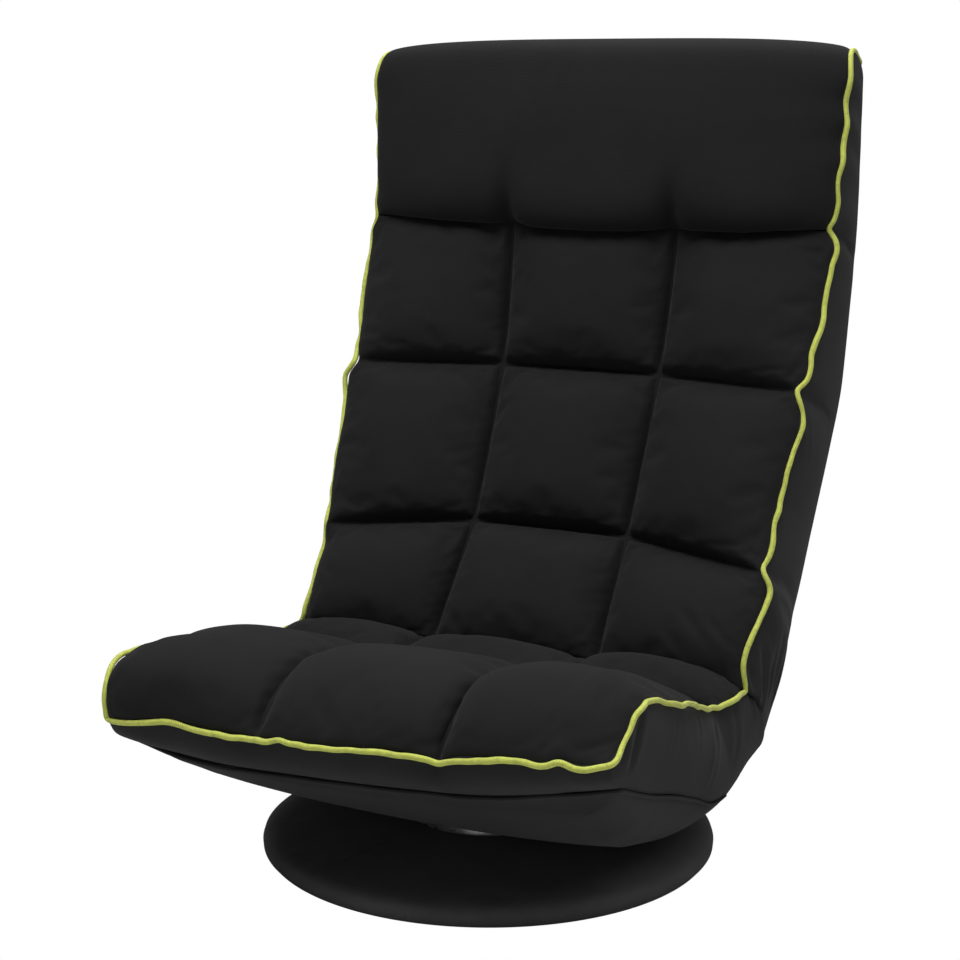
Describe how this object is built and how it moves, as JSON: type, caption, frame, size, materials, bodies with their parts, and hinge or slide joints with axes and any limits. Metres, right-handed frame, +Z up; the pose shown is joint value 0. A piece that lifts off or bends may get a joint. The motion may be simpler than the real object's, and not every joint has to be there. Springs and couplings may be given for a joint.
{
  "type": "floor gaming chair",
  "caption": "Low quilted floor chair with a tall back and head roll, contrast piping and a round swivel base; the back reclines on ratchet hinges.",
  "frame": {"origin": "swivel axis at the floor, the middle of the base's underside", "axes": "+Z up along the swivel axis, -Y towards the sitter's feet, +X to the sitter's left"},
  "size_m": [0.5286, 0.6138, 0.7918],
  "materials": {
    "quilt_cloth": "quilted cotton-blend cloth, near black, matt",
    "side_cloth": "plain side cloth, near black, matt",
    "plain_cloth": "smooth stretched cloth, charcoal, matt",
    "base_cloth": "plain base cloth, near black, matt",
    "piping_cloth": "woven bias piping, lime green",
    "welt_cloth": "folded seam strip, near black",
    "grip_cloth": "non-woven anti-slip cloth",
    "foam": "polyurethane foam, pale",
    "webbing": "elastic webbing",
    "frame_steel": "black powder coat",
    "plate_steel": "zinc plated pressed steel",
    "hinge_steel": "zinc plated",
    "ball_steel": "polished"
  },
  "bodies": {
    "base": {"base_cover": "base_cloth", "base_bottom_cloth": "grip_cloth", "base_ring_tube": "frame_steel", "base_spider_plate": "frame_steel", "base_foam": "foam", "turntable_lower_plate": "plate_steel", "turntable_eyelet": "plate_steel", "turntable_lower_bolts": "hinge_steel"},
    "ball_ring": {"turntable_balls": "ball_steel", "turntable_ball_cage": "plate_steel"},
    "seat": {"turntable_upper_plate": "plate_steel", "turntable_upper_bolts": "hinge_steel", "seat_mount_bracket": "frame_steel", "seat_mount_bars": "frame_steel", "seat_frame_loop": "frame_steel", "seat_cross_tube": "frame_steel", "seat_webbing": "webbing", "seat_foam": "foam", "seat_pad": "quilt_cloth", "seat_side_band": "side_cloth", "seat_underside_cover": "plain_cloth", "seat_piping": "piping_cloth", "seat_welt": "welt_cloth", "hinge_fork_left": "hinge_steel", "hinge_pin_left": "hinge_steel", "hinge_pawl_pin_left": "hinge_steel", "hinge_pawl_spring_left": "hinge_steel", "hinge_fork_right": "hinge_steel", "hinge_pin_right": "hinge_steel", "hinge_pawl_pin_right": "hinge_steel", "hinge_pawl_spring_right": "hinge_steel"},
    "backrest": {"back_frame_tube": "frame_steel", "back_cross_tubes": "frame_steel", "back_webbing": "webbing", "back_front_foam": "foam", "back_rear_foam": "foam", "back_rear_cover": "plain_cloth", "back_side_bands": "side_cloth", "back_pad": "quilt_cloth", "head_roll": "quilt_cloth", "back_piping": "piping_cloth", "hinge_toothed_arm_left": "hinge_steel", "hinge_toothed_arm_right": "hinge_steel"},
    "pawl_left": {"hinge_pawl_left": "hinge_steel"},
    "pawl_right": {"hinge_pawl_right": "hinge_steel"}
  },
  "joints": [
    {"name": "seat_swivel", "type": "hinge", "parent": "base", "child": "seat", "pos_m": [0, 0, 0.04], "axis": [0, 0, 1], "continuous": true},
    {"name": "ball_ring_turn", "type": "hinge", "parent": "base", "child": "ball_ring", "pos_m": [0, 0, 0.039], "axis": [0, 0, 1], "continuous": true},
    {"name": "backrest_recline", "type": "hinge", "parent": "seat", "child": "backrest", "pos_m": [0, 0.086, 0.1535], "axis": [-1, 0, 0], "range_deg": [-10, 75]},
    {"name": "pawl_lift_left", "type": "hinge", "parent": "seat", "child": "pawl_left", "pos_m": [0.205, 0.0627, 0.1217], "axis": [1, 0, 0], "range_deg": [0, 8], "stiffness_Nm_per_rad": 0.15, "springref_deg": -11.46},
    {"name": "pawl_lift_right", "type": "hinge", "parent": "seat", "child": "pawl_right", "pos_m": [-0.205, 0.0627, 0.1217], "axis": [1, 0, 0], "range_deg": [0, 8], "stiffness_Nm_per_rad": 0.15, "springref_deg": -11.46}
  ],
  "couplings": [
    {"joint": "ball_ring_turn", "follows": "seat_swivel", "ratio": 0.5},
    {"joint": "pawl_lift_right", "follows": "pawl_lift_left", "ratio": 1}
  ]
}
